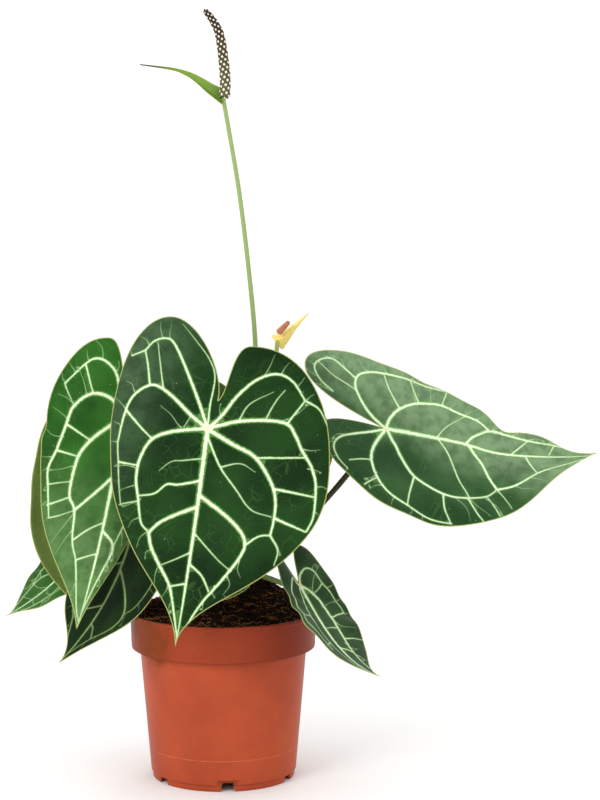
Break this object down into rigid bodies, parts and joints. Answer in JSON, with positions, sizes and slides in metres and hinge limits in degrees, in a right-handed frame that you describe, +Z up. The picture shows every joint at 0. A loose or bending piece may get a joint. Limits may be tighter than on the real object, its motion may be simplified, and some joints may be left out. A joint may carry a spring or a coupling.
{
  "type": "potted anthurium",
  "caption": "Anthurium with velvety heart-shaped leaves, pale veins and slender flower spikes, in a round plastic nursery pot",
  "frame": {"origin": "on the pot's axis, at the plane that the pot stands on, which is the middle of the face named foot", "axes": "+Z up along the pot's axis, -Y towards the side the plant is shown from, +X to the viewer's right"},
  "size_m": [0.3877, 0.2319, 0.4862],
  "materials": {
    "pot": "moulded terracotta-coloured plastic, slightly satin, scuffed",
    "potting_mix": "dark fibrous peat and bark crumbs, matt",
    "crown": "short woody stem, matt brown-green",
    "scale": "dry papery sheath",
    "leaf": "velvety dark green with pale green veins and a cream edge, lighter beneath",
    "stalk": "smooth green-brown leaf stalk",
    "flower_stalk": "smooth pale green stalk",
    "spathe_green": "smooth green bract with a purple tip",
    "spathe_yellow": "smooth young yellow bract",
    "spadix_dark": "dark purple-brown spike set with cream flower tips",
    "spadix_pink": "young pink-orange spike"
  },
  "bodies": {
    "root": {"pot": "pot", "potting_mix": "potting_mix", "crown": "crown", "crown_scale_1": "scale", "crown_scale_2": "scale", "crown_scale_3": "scale", "leaf_front": "leaf", "leaf_left": "leaf", "leaf_left_back": "leaf", "leaf_far_left": "leaf", "leaf_low_left": "leaf", "leaf_right": "leaf", "leaf_low_right": "leaf", "leaf_back": "leaf", "leaf_young": "leaf", "stalk_front": "stalk", "stalk_left": "stalk", "stalk_left_back": "stalk", "stalk_far_left": "stalk", "stalk_low_left": "stalk", "stalk_right": "stalk", "stalk_low_right": "stalk", "stalk_back": "stalk", "stalk_young": "stalk", "flower_stalk_tall": "flower_stalk", "flower_stalk_short": "flower_stalk", "spathe_tall": "spathe_green", "spathe_short": "spathe_yellow", "spadix_tall": "spadix_dark", "spadix_short": "spadix_pink"}
  },
  "joints": []
}
